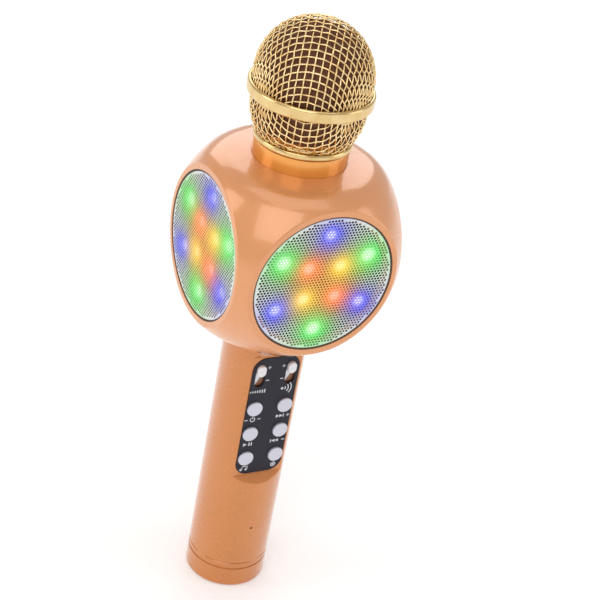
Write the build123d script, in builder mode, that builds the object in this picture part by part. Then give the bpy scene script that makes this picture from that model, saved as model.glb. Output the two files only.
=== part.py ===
"""Karaoke microphone with a wire-mesh ball, a head of four lit speaker faces and a grip with controls.

Millimetres. +Z runs up the grip, the origin is the centre of the base, and -Y is the front,
the side that carries the control panel. Every piece of the assembly is written to its own STEP file.
"""

import os
from math import cos, degrees, radians, sin, sqrt

from build123d import *

os.makedirs("parts", exist_ok=True)

# ---------------------------------------------------------------- clearances
FIT = 0.1  # between pieces that slide or turn on each other
SEAT = 0.05  # between pieces that only rest against each other
EASY = 0.2  # round a piece that drops into a pocket or a hole

# ---------------------------------------------------------------- grip
HANDLE_R = 18.0
HANDLE_WALL = 2.0
HANDLE_LENGTH = 135.8  # base to where the grip enters the head
HANDLE_INSERT = 6.5  # how far the tube reaches into the head
CAP_HEIGHT = 13.0
CAP_FLOOR = 2.4
CAP_SPIGOT = 7.0  # the part of the end cap that stands inside the tube
CAP_SPIGOT_WALL = 1.5
CAP_EDGE = 0.9
CAP_GROOVE_Z = 10.0
GROOVE_WIDTH = 0.8
GROOVE_DEPTH = 0.35
PORT_POCKET_R = 12.5  # shallow pocket round the sockets in the base
PORT_POCKET_DEPTH = 0.8

# ---------------------------------------------------------------- control panel
PANEL_WIDTH = 22.2
PANEL_LENGTH = 61.5
PANEL_THICKNESS = 1.2
PANEL_PROUD = 0.35  # how far its face stands above the flat it is let into
PANEL_CORNER = 6.0
PANEL_RIM = 0.8  # the narrowest flat left beside the panel
PANEL_GAP = 11.8  # panel to the head
FLAT_MARGIN = 0.6  # flat left above and below the panel
FLAT_FOOT_SLOPE = 0.6  # length over which the flat's lower end runs out, for each millimetre of its depth
FLAT_TOP_SLOPE = 2.2  # and its upper end
FLAT_EDGE = 0.8  # rounding where the flat's lower end meets the round grip
PANEL_BACKING = 1.5  # wall behind the panel

BUTTON_R = 3.55
BUTTON_STAND = 1.0
BUTTON_TRAVEL = 0.6
BUTTON_FLANGE_LIP = 0.45
BUTTON_FLANGE = 0.8
BUTTON_SPACING = 14.4
BUTTON_PITCH = 13.35
BUTTON_EDGE = 0.35
LOWEST_BUTTON = 9.0  # above the panel's lower end

SLOT_WIDTH = 4.6
SLOT_LENGTH = 11.6
SLOT_DROP = 8.7  # panel's upper end to the slot's centre
KNOB_WIDTH = 4.0
KNOB_LENGTH = 5.5
KNOB_STAND = 1.3
KNOB_EDGE = 0.5
KNOB_TRAVEL = 5.5
SHUTTER_WIDTH = 6.4
SHUTTER_THICKNESS = 0.8
SHUTTER_ABOVE = 4.4  # the shutter's reach above and below the knob's centre
SHUTTER_BELOW = 8.9

# ---------------------------------------------------------------- inside the grip
MAT_THICKNESS = 0.8
SWITCH_HEIGHT = 1.4
SWITCH_SIDE = 5.0
BOARD_THICKNESS = 1.6
BOARD_WIDTH = 22.0
BOARD_FOOT = 4.0  # the board's lower end above the base
BOARD_ABOVE = 2.0  # the board's reach past the panel's upper end
CHIP_SIDE = 9.0
CHIP_HEIGHT = 1.5
POT_WIDTH = 8.5
POT_LENGTH = 20.0
POT_GROOVE = 1.8
STEM_WIDTH = 1.4
STEM_REACH = 0.9

CELL_R = 9.2
CELL_LENGTH = 65.0
CELL_NUB_R = 3.0
CELL_NUB = 1.0
CELL_FOOT = 38.0  # the cell's lower end above the base
CRADLE_WALL = 1.4
CONTACT_GAP = 5.0
CONTACT_THICKNESS = 0.6
SPRING_R = 3.4

JACK_BORE_R = 1.8
JACK_DEPTH = 14.0
JACK_SIDE = 6.6
JACK_NOSE_R = 3.0
JACK_NOSE = 1.6
JACK_AT = (8.0, 3.5)
USB_WIDTH = 7.6
USB_HEIGHT = 2.8
USB_DEPTH = 5.6
USB_SKIN = 0.35
USB_TONGUE = 0.6
CARD_WIDTH = 12.4
CARD_HEIGHT = 1.8
CARD_DEPTH = 14.0
CARD_SLOT = 0.9
CARD_AT = (-4.0, 6.5)

INDICATOR_R = 0.6
INDICATOR_Z = 33.7

# ---------------------------------------------------------------- head
HEAD_R = 49.7
HEAD_HALF = 39.8
CROWN_R = 200.0  # radius of the arc over the top and under the bottom
SIDE_R = 52.0
SHOULDER_R = 15.0
HEAD_WALL = 2.4
FACE_OUT = 37.2  # axis to each flat face
FACE_WALL = 5.2
FACE_EDGE = 1.2
HEAD_BOSS_R = 2.4
HEAD_BOSS_FRONT = 9.0  # length of the screw bosses in the front half
HEAD_BOSS_REAR = 16.0  # and in the rear half
SCREW_R = 1.1
SCREW_HEAD_R = 2.2
SCREW_HEAD = 1.6
SCREW_BITE = 6.0
LOCK_RING_WIDTH = 4.0
LOCK_RING_HEIGHT = 2.8

# ---------------------------------------------------------------- one lit face, depths from the flat
GRILLE_R = 30.4
GRILLE_THICKNESS = 0.6
GRILLE_SINK = 0.3
GRILLE_SKIRT = 3.0
GASKET_THICKNESS = 0.55
SOUND_LEDGE = 2.2  # the ledge under the grille's skirt
DIFFUSER_GAP = 1.0
DIFFUSER_DEPTH = 2.0
DIFFUSER_THICKNESS = 1.0
POST_R = 1.2
POST_INSET = 1.8
LIGHT_BOARD_LAP = 0.8  # how far the board reaches behind the ledge
LIGHT_BOARD_THICKNESS = 1.2
WINDOW_WIDTH = 4.4
WINDOW_INSET = 3.8  # outer lights to the sound windows' outer edge
WINDOW_RIB = 2.3
BOARD_EYE_R = 6.2
LED_SIDE = 3.2
LED_HEIGHT = 1.4
OUTER_LED_INSET = 6.2  # sound hole's edge to the outer lights

# ---------------------------------------------------------------- speaker driver
DRIVER_INSET = 3.0  # how far the driver's flange lies inside the light board's edge
DRIVER_FLANGE = 1.2
DRIVER_BASKET_DEPTH = 12.0
DRIVER_BACK_R = 15.0
DRIVER_SKIN = 1.2
CONE_CLEAR = 0.3
CONE_NECK_R = 7.0
CONE_DEPTH = 7.5
CONE_SKIN = 0.6
MAGNET_R = 14.0
MAGNET_THICKNESS = 7.5

# ---------------------------------------------------------------- neck and capsule
NECK_R = 19.7
NECK_HEIGHT = 7.3  # visible height above the head
NECK_SINK = 1.2  # how deep the collar sits in the head's top
NECK_TAIL_STEP = 3.4
NECK_TAIL = 7.0
SPIGOT_STEP = 2.4
SPIGOT_WALL = 3.4
SPIGOT_HEIGHT = 6.0
MOUNT_WALL = 2.6
MOUNT_HEIGHT = 18.0
CAPSULE_HEIGHT = 20.0
CAPSULE_RIM = 1.2

# ---------------------------------------------------------------- mesh ball
BALL_R = 24.5
MESH_THICKNESS = 1.3
BALL_CENTRE = 27.8  # above the neck
BAND_CENTRE = 21.9  # above the neck
BAND_HEIGHT = 5.2
BAND_PROUD = 1.2
BAND_EDGE = 1.0
BASE_RING_LIP = 0.8  # how far the ring stands out past the neck
BASE_RING_HEIGHT = 2.8
BASE_RING_GAP = 0.25
BASE_SLEEVE = 1.2
BOWL_FOOT_INSET = 0.6  # ring's edge to the foot of the bowl
BOWL_BELLY = 1.5  # how far the bowl's side bows out
BOWL_PINCH = 0.8  # how much narrower the bowl is just under the band
FOAM_THICKNESS = 3.0
FOAM_GAP = 0.4

# ---------------------------------------------------------------- derived places
BUTTON_FLANGE_R = BUTTON_R + BUTTON_FLANGE_LIP
SOUND_HOLE_R = GRILLE_R - SOUND_LEDGE
DIFFUSER_R = SOUND_HOLE_R - DIFFUSER_GAP
POST_RING_R = DIFFUSER_R - POST_INSET
LIGHT_BOARD_R = SOUND_HOLE_R + LIGHT_BOARD_LAP
OUTER_LED_R = SOUND_HOLE_R - OUTER_LED_INSET
WINDOW_R = OUTER_LED_R - WINDOW_INSET - WINDOW_WIDTH / 2
WINDOW_SPAN = 90 - degrees((WINDOW_WIDTH + WINDOW_RIB) / WINDOW_R)
INNER_LED_R = (BOARD_EYE_R + WINDOW_R - WINDOW_WIDTH / 2) / 2
DRIVER_R = LIGHT_BOARD_R - DRIVER_INSET
HEAD_BOSS_X = HANDLE_R + LOCK_RING_WIDTH + HEAD_BOSS_R + EASY
HEAD_BOSS_Z = LIGHT_BOARD_R + HEAD_BOSS_R + EASY
NECK_TAIL_R = NECK_R - NECK_TAIL_STEP
SPIGOT_R = NECK_R - SPIGOT_STEP
NECK_BORE_R = SPIGOT_R - SPIGOT_WALL
BASE_RING_R = NECK_R + BASE_RING_LIP
BOWL_FOOT_R = BASE_RING_R - BOWL_FOOT_INSET

CROWN_DROP = CROWN_R - HEAD_HALF
HEAD_CUT = HEAD_HALF + HEAD_WALL  # from the head's centre to clear of its crown
SIDE_SHIFT = SIDE_R - HEAD_R


def head_height(radius, inset=0.0):
    """Height of the head's crown above its centre at a distance from the axis."""
    return sqrt((CROWN_R - inset) ** 2 - radius**2) - CROWN_DROP


HEAD_Z = HANDLE_LENGTH + head_height(HANDLE_R)
TUBE_TOP = HANDLE_LENGTH + HANDLE_INSERT
NECK_Z = HEAD_Z + head_height(NECK_R)
NECK_TOP = NECK_Z + NECK_HEIGHT
BALL_Z = NECK_TOP + BALL_CENTRE
BAND_Z = NECK_TOP + BAND_CENTRE

BORE_R = HANDLE_R - HANDLE_WALL
FLAT_Y = sqrt(HANDLE_R**2 - (PANEL_WIDTH / 2 + PANEL_RIM) ** 2)  # axis to the flat on the grip
PANEL_FACE = FLAT_Y + PANEL_PROUD
PANEL_BACK = PANEL_FACE - PANEL_THICKNESS
WALL_BACK = PANEL_BACK - PANEL_BACKING
PANEL_TOP = HANDLE_LENGTH - PANEL_GAP
PANEL_FOOT = PANEL_TOP - PANEL_LENGTH
PANEL_MID = (PANEL_TOP + PANEL_FOOT) / 2
BOARD_TOP = PANEL_TOP + BOARD_ABOVE
SLOT_Z = PANEL_TOP - SLOT_DROP
KNOB_Z = SLOT_Z + KNOB_TRAVEL / 2  # the knobs rest at the upper end of their travel
BUTTON_XS = (-BUTTON_SPACING / 2, BUTTON_SPACING / 2)
BUTTON_ZS = [PANEL_FOOT + LOWEST_BUTTON + row * BUTTON_PITCH for row in range(3)]

BUTTON_BACK = PANEL_BACK - SEAT - BUTTON_FLANGE
MAT_FACE = BUTTON_BACK - BUTTON_TRAVEL - FIT
MAT_BACK = MAT_FACE - MAT_THICKNESS
BOARD_FACE = MAT_BACK - SWITCH_HEIGHT - SEAT
BOARD_BACK = BOARD_FACE - BOARD_THICKNESS
CELL_Y = -BOARD_BACK + SEAT + CRADLE_WALL + CELL_R

LIGHT_BOARD_BACK = FACE_OUT - FACE_WALL - SEAT - LIGHT_BOARD_THICKNESS
DRIVER_FACE = LIGHT_BOARD_BACK - SEAT
DRIVER_BACK = DRIVER_FACE - DRIVER_BASKET_DEPTH
DRIVER_WAIST_R = DRIVER_R - 3 * DRIVER_SKIN

FRONT, RIGHT, REAR, LEFT = 0, 90, 180, 270
FACES = {"front": FRONT, "right": RIGHT, "rear": REAR, "left": LEFT}


def face_plane(turn):
    """Plane at the head's centre whose normal looks out of one face."""
    out = Vector(sin(radians(turn)), -cos(radians(turn)), 0)
    across = Vector(cos(radians(turn)), sin(radians(turn)), 0)
    return Plane(origin=(0, 0, HEAD_Z), x_dir=across, z_dir=out)


def section_plane(face):
    """Plane through a face's axis: its x is the distance from that axis, its y the way out."""
    return Plane(origin=face.origin, x_dir=face.x_dir, z_dir=-face.y_dir)


def front_plane(distance):
    """Plane facing the front, a distance out from the grip's axis."""
    return Plane(origin=(0, -distance, 0), x_dir=(1, 0, 0), z_dir=(0, -1, 0))


def ring_point(radius, angle):
    return (radius * cos(radians(angle)), radius * sin(radians(angle)))


def save(piece, name):
    piece.part.label = name
    export_step(piece.part, f"parts/{name}.step")


# ================================================================= grip
def grip_flat():
    """The stock cut away for the control panel: a flat with sloping ends."""
    run = HANDLE_R - FLAT_Y
    foot = PANEL_FOOT - FLAT_MARGIN
    top = PANEL_TOP + FLAT_MARGIN
    with BuildPart() as cut:
        with BuildSketch(Plane.YZ.offset(-HANDLE_R)):
            with BuildLine():
                Polyline(
                    (-FLAT_Y, foot),
                    (-FLAT_Y - 2 * run, foot - 2 * run * FLAT_FOOT_SLOPE),
                    (-FLAT_Y - 2 * run, top + 2 * run * FLAT_TOP_SLOPE),
                    (-FLAT_Y, top),
                    close=True,
                )
            make_face()
        extrude(amount=2 * HANDLE_R)
    return cut


def tube_hollow():
    """The tube's inside: round, with a flat wall behind the panel."""
    foot = PANEL_FOOT - FLAT_MARGIN - (HANDLE_R - FLAT_Y) * FLAT_FOOT_SLOPE - HANDLE_WALL
    with BuildPart() as hollow:
        with BuildSketch(Plane.XY.offset(CAP_HEIGHT)):
            Circle(BORE_R)
        extrude(amount=TUBE_TOP - CAP_HEIGHT)
        with BuildSketch(Plane.XY.offset(foot)):
            with Locations((0, -WALL_BACK - HANDLE_R)):
                Rectangle(2 * HANDLE_R, 2 * HANDLE_R)
        extrude(amount=TUBE_TOP - foot, mode=Mode.SUBTRACT)
    return hollow


def panel_outline(grow=0.0):
    with Locations((0, PANEL_MID)):
        RectangleRounded(PANEL_WIDTH + 2 * grow, PANEL_LENGTH + 2 * grow, PANEL_CORNER + grow)


def make_handle_tube():
    flat = grip_flat()
    hollow = tube_hollow()
    with BuildPart() as handle_tube:
        with BuildSketch(Plane.XY.offset(CAP_HEIGHT)):
            Circle(HANDLE_R)
        extrude(amount=TUBE_TOP - CAP_HEIGHT)
        chamfer(handle_tube.edges().group_by(Axis.Z)[0], GROOVE_DEPTH)
        add(flat.part, mode=Mode.SUBTRACT)
        fillet(handle_tube.edges().filter_by(GeomType.ELLIPSE).sort_by(Axis.Z)[0], FLAT_EDGE)
        add(hollow.part, mode=Mode.SUBTRACT)
        with BuildSketch(front_plane(PANEL_BACK)):
            panel_outline(FIT)
        extrude(amount=HANDLE_R, mode=Mode.SUBTRACT)
        with BuildSketch(front_plane(0)):
            for x in BUTTON_XS:
                with Locations([(x, z) for z in BUTTON_ZS]):
                    Circle(BUTTON_FLANGE_R + EASY)
            shutter_low = KNOB_Z - KNOB_TRAVEL - SHUTTER_BELOW - EASY
            shutter_high = KNOB_Z + SHUTTER_ABOVE + EASY
            with Locations([(x, (shutter_low + shutter_high) / 2) for x in BUTTON_XS]):
                Rectangle(SHUTTER_WIDTH + 2 * EASY, shutter_high - shutter_low)
        extrude(amount=PANEL_BACK + EASY, mode=Mode.SUBTRACT)
        with BuildSketch(front_plane(0)):
            with Locations((0, INDICATOR_Z)):
                Circle(INDICATOR_R + SEAT)
        extrude(amount=HANDLE_R, mode=Mode.SUBTRACT)
    return handle_tube


def make_end_cap():
    with BuildPart() as end_cap:
        with BuildSketch():
            Circle(HANDLE_R)
        extrude(amount=CAP_HEIGHT - SEAT)
        fillet(end_cap.edges().group_by(Axis.Z)[0], CAP_EDGE)
        chamfer(end_cap.edges().group_by(Axis.Z)[-1], GROOVE_DEPTH)
        with BuildSketch(Plane.XY.offset(CAP_HEIGHT - SEAT)):
            Circle(BORE_R - SEAT)
        extrude(amount=CAP_SPIGOT)
        with BuildSketch(Plane.XY.offset(CAP_FLOOR)):
            Circle(BORE_R - SEAT - CAP_SPIGOT_WALL)
        extrude(amount=CAP_HEIGHT + CAP_SPIGOT, mode=Mode.SUBTRACT)
        with BuildSketch(Plane.XZ):
            with Locations((HANDLE_R, CAP_GROOVE_Z)):
                Rectangle(2 * GROOVE_DEPTH, GROOVE_WIDTH)
        revolve(axis=Axis.Z, mode=Mode.SUBTRACT)
        with BuildSketch():
            Circle(PORT_POCKET_R)
        extrude(amount=PORT_POCKET_DEPTH, mode=Mode.SUBTRACT)
        with BuildSketch():
            with Locations(JACK_AT):
                Circle(JACK_NOSE_R + EASY)
            with Locations((0, -BOARD_BACK + USB_HEIGHT / 2 + SEAT)):
                Rectangle(USB_WIDTH + 2 * EASY, USB_HEIGHT + 2 * EASY)
            with Locations(CARD_AT):
                Rectangle(CARD_WIDTH + 2 * EASY, CARD_HEIGHT + 2 * EASY)
        extrude(amount=CAP_FLOOR, mode=Mode.SUBTRACT)
    return end_cap


def make_control_panel():
    with BuildPart() as control_panel:
        with BuildSketch(front_plane(PANEL_BACK)):
            panel_outline()
            for x in BUTTON_XS:
                with Locations([(x, z) for z in BUTTON_ZS]):
                    Circle(BUTTON_R + FIT, mode=Mode.SUBTRACT)
                with Locations((x, SLOT_Z)):
                    SlotOverall(SLOT_LENGTH, SLOT_WIDTH, rotation=90, mode=Mode.SUBTRACT)
        extrude(amount=PANEL_THICKNESS)
    return control_panel


def make_button(x, z):
    with BuildPart() as button:
        with BuildSketch(front_plane(BUTTON_BACK)):
            with Locations((x, z)):
                Circle(BUTTON_FLANGE_R)
        extrude(amount=BUTTON_FLANGE)
        with BuildSketch(front_plane(BUTTON_BACK)):
            with Locations((x, z)):
                Circle(BUTTON_R)
        extrude(amount=PANEL_FACE + BUTTON_STAND - BUTTON_BACK)
        fillet(button.edges().group_by(Axis.Y)[0], BUTTON_EDGE)
    return button


def make_slider_knob(x):
    shutter_back = PANEL_BACK - SEAT - SHUTTER_THICKNESS
    shutter_mid = KNOB_Z + (SHUTTER_ABOVE - SHUTTER_BELOW) / 2
    with BuildPart() as knob:
        with BuildSketch(front_plane(shutter_back)):
            with Locations((x, shutter_mid)):
                Rectangle(SHUTTER_WIDTH, SHUTTER_ABOVE + SHUTTER_BELOW)
        extrude(amount=SHUTTER_THICKNESS)
        with BuildSketch(front_plane(shutter_back)):
            with Locations((x, KNOB_Z)):
                SlotOverall(KNOB_LENGTH, KNOB_WIDTH, rotation=90)
        extrude(amount=PANEL_FACE + KNOB_STAND - shutter_back)
        fillet(knob.edges().group_by(Axis.Y)[0], KNOB_EDGE)
        with BuildSketch(front_plane(MAT_FACE - STEM_REACH)):
            with Locations((x, KNOB_Z)):
                Rectangle(STEM_WIDTH, STEM_WIDTH)
        extrude(amount=shutter_back - MAT_FACE + STEM_REACH)
    return knob


def make_charge_indicator():
    """Clear light pipe behind the pinhole."""
    with BuildPart() as indicator:
        with BuildSketch(front_plane(BOARD_FACE + CHIP_HEIGHT)):
            with Locations((0, INDICATOR_Z)):
                Circle(INDICATOR_R)
        extrude(amount=HANDLE_R - GROOVE_DEPTH - BOARD_FACE - CHIP_HEIGHT)
    return indicator


def make_lock_ring(radius, low):
    """Ring nut inside the head, on the tube or on the neck's tail."""
    with BuildPart() as ring:
        with BuildSketch(Plane.XY.offset(low)):
            Circle(radius + LOCK_RING_WIDTH)
            Circle(radius + SEAT, mode=Mode.SUBTRACT)
        extrude(amount=LOCK_RING_HEIGHT)
    return ring


# ================================================================= inside the grip
def make_button_mat():
    rows = BUTTON_ZS[-1] - BUTTON_ZS[0]
    with BuildPart() as button_mat:
        with BuildSketch(front_plane(MAT_BACK)):
            with Locations((0, (BUTTON_ZS[0] + BUTTON_ZS[-1]) / 2)):
                RectangleRounded(BUTTON_SPACING + SWITCH_SIDE, rows + SWITCH_SIDE, SWITCH_SIDE / 3)
        extrude(amount=MAT_THICKNESS)
    return button_mat


def make_slider_pots():
    """Bodies of the two slide potentiometers, each with a groove for its lever."""
    mid = KNOB_Z - KNOB_TRAVEL / 2
    with BuildPart() as slider_pots:
        with BuildSketch(front_plane(BOARD_FACE)):
            with Locations([(x, mid) for x in BUTTON_XS]):
                Rectangle(POT_WIDTH, POT_LENGTH)
        extrude(amount=MAT_FACE - BOARD_FACE)
        with BuildSketch(front_plane(MAT_FACE - STEM_REACH - EASY)):
            with Locations([(x, mid) for x in BUTTON_XS]):
                Rectangle(POT_GROOVE, KNOB_TRAVEL + POT_GROOVE + EASY)
        extrude(amount=STEM_REACH + 2 * EASY, mode=Mode.SUBTRACT)
    return slider_pots


def make_main_board():
    """Board with its soldered switches, chips and status light as solids of their own."""
    chips = [(0, INDICATOR_Z, INDICATOR_R * 4), (-5, 46, CHIP_SIDE), (6, 48, CHIP_SIDE / 1.5)]
    with BuildPart() as main_board:
        with BuildSketch(front_plane(BOARD_BACK)):
            with Locations((0, (BOARD_FOOT + BOARD_TOP) / 2)):
                Rectangle(BOARD_WIDTH, BOARD_TOP - BOARD_FOOT)
        extrude(amount=BOARD_THICKNESS)
    with BuildPart() as soldered:
        with BuildSketch(front_plane(BOARD_FACE)):
            for x in BUTTON_XS:
                with Locations([(x, z) for z in BUTTON_ZS]):
                    Rectangle(SWITCH_SIDE, SWITCH_SIDE)
        extrude(amount=SWITCH_HEIGHT)
        with BuildSketch(front_plane(BOARD_FACE)):
            for x, z, side in chips:
                with Locations((x, z)):
                    Rectangle(side, side)
        extrude(amount=CHIP_HEIGHT - SEAT)
    main_board.part = Compound([*main_board.part.solids(), *soldered.part.solids()])
    return main_board


def make_battery_cell():
    with BuildPart() as battery_cell:
        with BuildSketch(Plane.XY.offset(CELL_FOOT)):
            with Locations((0, CELL_Y)):
                Circle(CELL_R)
        extrude(amount=CELL_LENGTH - CELL_NUB)
        fillet(battery_cell.edges().filter_by(GeomType.CIRCLE), CELL_NUB / 2)
        with BuildSketch(Plane.XY.offset(CELL_FOOT + CELL_LENGTH - CELL_NUB)):
            with Locations((0, CELL_Y)):
                Circle(CELL_NUB_R)
        extrude(amount=CELL_NUB)
    return battery_cell


def make_battery_cradle():
    """Trough behind the board with a wall at each end."""
    outer = CELL_R + CRADLE_WALL
    low = CELL_FOOT - CONTACT_GAP
    high = CELL_FOOT + CELL_LENGTH + CONTACT_GAP
    with BuildPart() as cradle:
        with BuildSketch(Plane.XY.offset(low - CRADLE_WALL)):
            with Locations((0, CELL_Y)):
                Circle(outer)
            with Locations((0, CELL_Y + outer)):
                Rectangle(2 * outer, 2 * outer, mode=Mode.SUBTRACT)
        extrude(amount=high - low + 2 * CRADLE_WALL)
        with BuildSketch(Plane.XY.offset(low)):
            with Locations((0, CELL_Y)):
                Circle(CELL_R + SEAT)
        extrude(amount=high - low, mode=Mode.SUBTRACT)
    return cradle


def make_battery_contacts():
    """A spring cone under the cell and a plate on its nub."""
    low = CELL_FOOT - CONTACT_GAP + SEAT
    high = CELL_FOOT + CELL_LENGTH + CONTACT_GAP - SEAT
    at = CELL_Y - CELL_R / 2
    with BuildPart() as contacts:
        for bottom in (low, high - CONTACT_THICKNESS):
            with BuildSketch(Plane.XY.offset(bottom)):
                with Locations((0, at)):
                    Rectangle(CELL_R, CELL_R / 2)
            extrude(amount=CONTACT_THICKNESS)
        with BuildSketch(Plane.XY.offset(low + CONTACT_THICKNESS)):
            with Locations((0, at)):
                Circle(SPRING_R / 2)
        extrude(amount=CONTACT_GAP - CONTACT_THICKNESS - 2 * SEAT, taper=-8)
        with BuildSketch(Plane.XY.offset(CELL_FOOT + CELL_LENGTH + SEAT)):
            with Locations((0, CELL_Y)):
                Circle(CELL_NUB_R / 2)
            with Locations((0, (at + CELL_Y) / 2)):
                Rectangle(CELL_NUB_R, CELL_Y - at)
        extrude(amount=CONTACT_GAP - 2 * SEAT - CONTACT_THICKNESS)
    return contacts


def make_audio_jack():
    back = PORT_POCKET_DEPTH + JACK_DEPTH
    with BuildPart() as audio_jack:
        with BuildSketch(Plane.XY.offset(CAP_FLOOR + SEAT)):
            with Locations(JACK_AT):
                Rectangle(JACK_SIDE, JACK_SIDE)
        extrude(amount=back + JACK_NOSE - CAP_FLOOR)
        with BuildSketch(Plane.XY.offset(PORT_POCKET_DEPTH)):
            with Locations(JACK_AT):
                Circle(JACK_NOSE_R)
        extrude(amount=CAP_FLOOR - PORT_POCKET_DEPTH + JACK_NOSE)
        with BuildSketch(Plane.XY.offset(PORT_POCKET_DEPTH)):
            with Locations(JACK_AT):
                Circle(JACK_BORE_R)
        extrude(amount=JACK_DEPTH, mode=Mode.SUBTRACT)
    return audio_jack


def make_micro_usb_socket():
    at = (0, -BOARD_BACK + USB_HEIGHT / 2 + SEAT)
    with BuildPart() as usb:
        with BuildSketch(Plane.XY.offset(PORT_POCKET_DEPTH)):
            with Locations(at):
                RectangleRounded(USB_WIDTH, USB_HEIGHT, USB_HEIGHT / 4)
        extrude(amount=USB_DEPTH)
        with BuildSketch(Plane.XY.offset(PORT_POCKET_DEPTH)):
            with Locations(at):
                Rectangle(USB_WIDTH - 3 * USB_SKIN, USB_HEIGHT - 2 * USB_SKIN)
                Rectangle(USB_WIDTH / 2, USB_TONGUE, mode=Mode.SUBTRACT)
        extrude(amount=USB_DEPTH - USB_SKIN, mode=Mode.SUBTRACT)
    return usb


def make_card_slot():
    with BuildPart() as card_slot:
        with BuildSketch(Plane.XY.offset(PORT_POCKET_DEPTH)):
            with Locations(CARD_AT):
                Rectangle(CARD_WIDTH, CARD_HEIGHT)
        extrude(amount=CARD_DEPTH)
        with BuildSketch(Plane.XY.offset(PORT_POCKET_DEPTH)):
            with Locations(CARD_AT):
                Rectangle(CARD_WIDTH - 2 * USB_SKIN, CARD_SLOT)
        extrude(amount=CARD_DEPTH - USB_SKIN, mode=Mode.SUBTRACT)
    return card_slot


# ================================================================= head
def head_body(inset, face_out):
    """The head's round form, inset evenly, with its four flat faces."""
    section = Plane(origin=(0, 0, HEAD_Z), x_dir=(1, 0, 0), z_dir=(0, -1, 0))
    with BuildPart() as body:
        with BuildSketch(section) as half:
            with Locations((0, -CROWN_DROP)):
                Circle(CROWN_R - inset)
            with Locations((0, CROWN_DROP)):
                Circle(CROWN_R - inset, mode=Mode.INTERSECT)
            with Locations((-SIDE_SHIFT, 0)):
                Circle(SIDE_R - inset, mode=Mode.INTERSECT)
            with Locations((HEAD_R, 0)):
                Rectangle(2 * HEAD_R, 3 * HEAD_HALF, mode=Mode.INTERSECT)
            fillet(half.vertices().group_by(Axis.X)[-1], SHOULDER_R - inset)
        revolve(axis=Axis.Z)
        with Locations((0, 0, HEAD_Z)):
            Box(2 * face_out, 2 * face_out, 3 * HEAD_HALF, mode=Mode.INTERSECT)
    return body


SCREW_SPOTS = [(x, HEAD_Z + z) for x in (-HEAD_BOSS_X, HEAD_BOSS_X) for z in (-HEAD_BOSS_Z, HEAD_BOSS_Z)]


def head_bosses(toward):
    """Screw bosses of one half, each on a rib that grows out of the crown or the floor."""
    rib = HEAD_HALF - HEAD_BOSS_Z
    length = HEAD_BOSS_FRONT if toward > 0 else HEAD_BOSS_REAR
    envelope = head_body(SEAT, FACE_OUT)
    with BuildPart() as bosses:
        with BuildSketch(front_plane(0)):
            with Locations(SCREW_SPOTS):
                Circle(HEAD_BOSS_R)
            for x, z in SCREW_SPOTS:
                away = rib / 2 if z > HEAD_Z else -rib / 2
                with Locations((x, z + away)):
                    Rectangle(HEAD_BOSS_R, rib)
        extrude(amount=length * toward)
        add(envelope.part, mode=Mode.INTERSECT)
    return bosses


def make_head_shell(toward):
    """One half of the head, split across the side faces: toward is 1 at the front and -1 at the rear."""
    seat_r = GRILLE_R + GASKET_THICKNESS + FIT + SEAT
    pilot = SCREW_R + (SEAT if toward > 0 else EASY)
    outside = head_body(0, FACE_OUT)
    inside = head_body(HEAD_WALL, FACE_OUT - FACE_WALL)
    bosses = head_bosses(toward)
    with BuildPart() as shell:
        add(outside.part)
        rims = [e for f in shell.faces().filter_by(GeomType.PLANE) for e in f.edges()]
        fillet(rims, FACE_EDGE)
        add(inside.part, mode=Mode.SUBTRACT)
        for turn in FACES.values():
            face = face_plane(turn)
            with BuildSketch(face.offset(FACE_OUT - GRILLE_SINK - GRILLE_SKIRT - SEAT)):
                Circle(seat_r)
            extrude(amount=FACE_WALL, mode=Mode.SUBTRACT)
            with BuildSketch(face.offset(HEAD_R / 2)):
                Circle(SOUND_HOLE_R)
            extrude(amount=HEAD_R / 2, mode=Mode.SUBTRACT)
        add(bosses.part)
        with BuildSketch(Plane.XY.offset(HEAD_Z)):
            Circle(NECK_TAIL_R + FIT)
        extrude(amount=HEAD_CUT, mode=Mode.SUBTRACT)
        with BuildSketch(Plane.XY.offset(NECK_Z - NECK_SINK)):
            Circle(NECK_R + FIT)
        extrude(amount=HEAD_HALF, mode=Mode.SUBTRACT)
        with BuildSketch(Plane.XY.offset(HEAD_Z)):
            Circle(HANDLE_R + FIT)
        extrude(amount=-HEAD_CUT, mode=Mode.SUBTRACT)
        with BuildSketch(front_plane(-HEAD_BOSS_REAR)):
            with Locations(SCREW_SPOTS):
                Circle(pilot)
        extrude(amount=HEAD_BOSS_REAR + SCREW_BITE + EASY, mode=Mode.SUBTRACT)
        with BuildSketch(front_plane(-HEAD_BOSS_REAR)):
            with Locations(SCREW_SPOTS):
                Circle(SCREW_HEAD_R + EASY)
        extrude(amount=-HEAD_R, mode=Mode.SUBTRACT)
        split(bisect_by=Plane.XZ.offset(SEAT / 2 * toward), keep=Keep.TOP if toward > 0 else Keep.BOTTOM)
    return shell


def make_head_screws():
    """Four screws put in from the rear, with crossed slots."""
    seat = HEAD_BOSS_REAR + SEAT
    with BuildPart() as screws:
        with BuildSketch(front_plane(-seat - SCREW_HEAD)):
            with Locations(SCREW_SPOTS):
                Circle(SCREW_HEAD_R)
        extrude(amount=SCREW_HEAD)
        with BuildSketch(front_plane(-seat)):
            with Locations(SCREW_SPOTS):
                Circle(SCREW_R)
        extrude(amount=seat + SCREW_BITE)
        with BuildSketch(front_plane(-seat - SCREW_HEAD)):
            with Locations(SCREW_SPOTS):
                Rectangle(SCREW_HEAD_R, SCREW_R / 2)
                Rectangle(SCREW_R / 2, SCREW_HEAD_R)
        extrude(amount=SCREW_HEAD / 2, mode=Mode.SUBTRACT)
    return screws


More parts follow.
